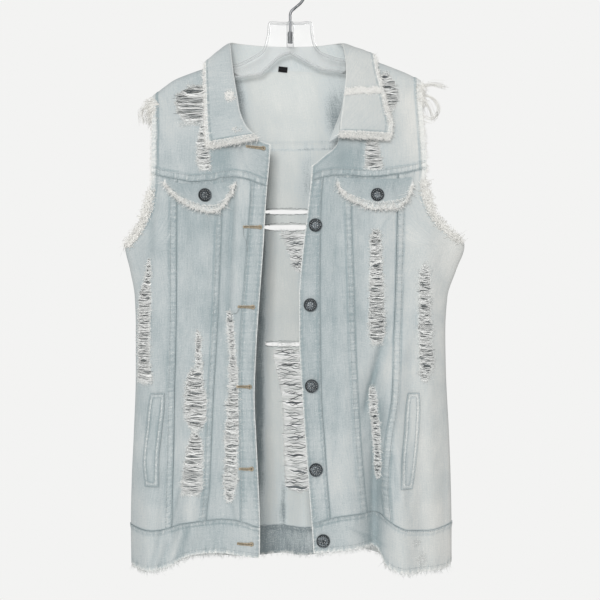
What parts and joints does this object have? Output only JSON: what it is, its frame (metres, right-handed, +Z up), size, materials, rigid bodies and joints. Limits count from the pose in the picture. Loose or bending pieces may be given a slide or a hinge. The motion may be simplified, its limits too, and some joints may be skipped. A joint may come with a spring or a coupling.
{
  "type": "denim vest on a hanger",
  "caption": "Long sleeveless denim vest with ripped panels, frayed edges and flap pockets, hanging open on a clear hanger.",
  "frame": {"origin": "the inner crown of the hanger's hook, where the rail touches it", "axes": "+X towards the wearer's left, +Y towards the back of the vest, +Z up"},
  "size_m": [0.4957, 0.1044, 0.8653],
  "materials": {
    "denim": "light blue-grey washed denim twill, matt",
    "pale_denim": "bleached denim twill, almost white, matt",
    "fray": "off-white cotton threads, matt",
    "pewter": "dark pewter, satin",
    "label": "plain black woven tape",
    "clear_plastic": "clear moulded plastic, glossy",
    "wire": "bright plated steel wire"
  },
  "bodies": {
    "root": {"right_side_front": "denim", "right_middle_front": "denim", "right_centre_front": "denim", "right_placket": "denim", "right_yoke": "pale_denim", "right_hem_band": "denim", "left_side_front": "denim", "left_middle_front": "denim", "left_centre_front": "denim", "left_placket": "denim", "left_yoke": "pale_denim", "left_hem_band": "denim", "back_right_side": "denim", "back_centre": "denim", "back_left_side": "denim", "back_yoke": "pale_denim", "back_hem_band": "denim", "collar_fall": "denim", "collar_stand": "pale_denim", "right_pocket_flap": "denim", "left_pocket_flap": "denim", "right_welt_pocket": "denim", "left_welt_pocket": "denim", "left_turned_corner": "pale_denim", "placket_button_1": "pewter", "placket_button_2": "pewter", "placket_button_3": "pewter", "placket_button_4": "pewter", "placket_button_5": "pewter", "hem_band_button": "pewter", "right_flap_button": "pewter", "left_flap_button": "pewter", "right_armhole_fray_front": "fray", "left_armhole_fray_front": "fray", "right_armhole_fray_back": "fray", "left_armhole_fray_back": "fray", "right_flap_fray": "fray", "left_flap_fray": "fray", "right_collar_fray": "fray", "left_collar_fray": "fray", "right_hem_fray": "fray", "left_hem_fray": "fray", "back_hem_fray": "fray", "neck_label": "label", "hanger_body": "clear_plastic", "hook_ferrule": "wire", "hanger_hook": "wire"}
  },
  "joints": []
}
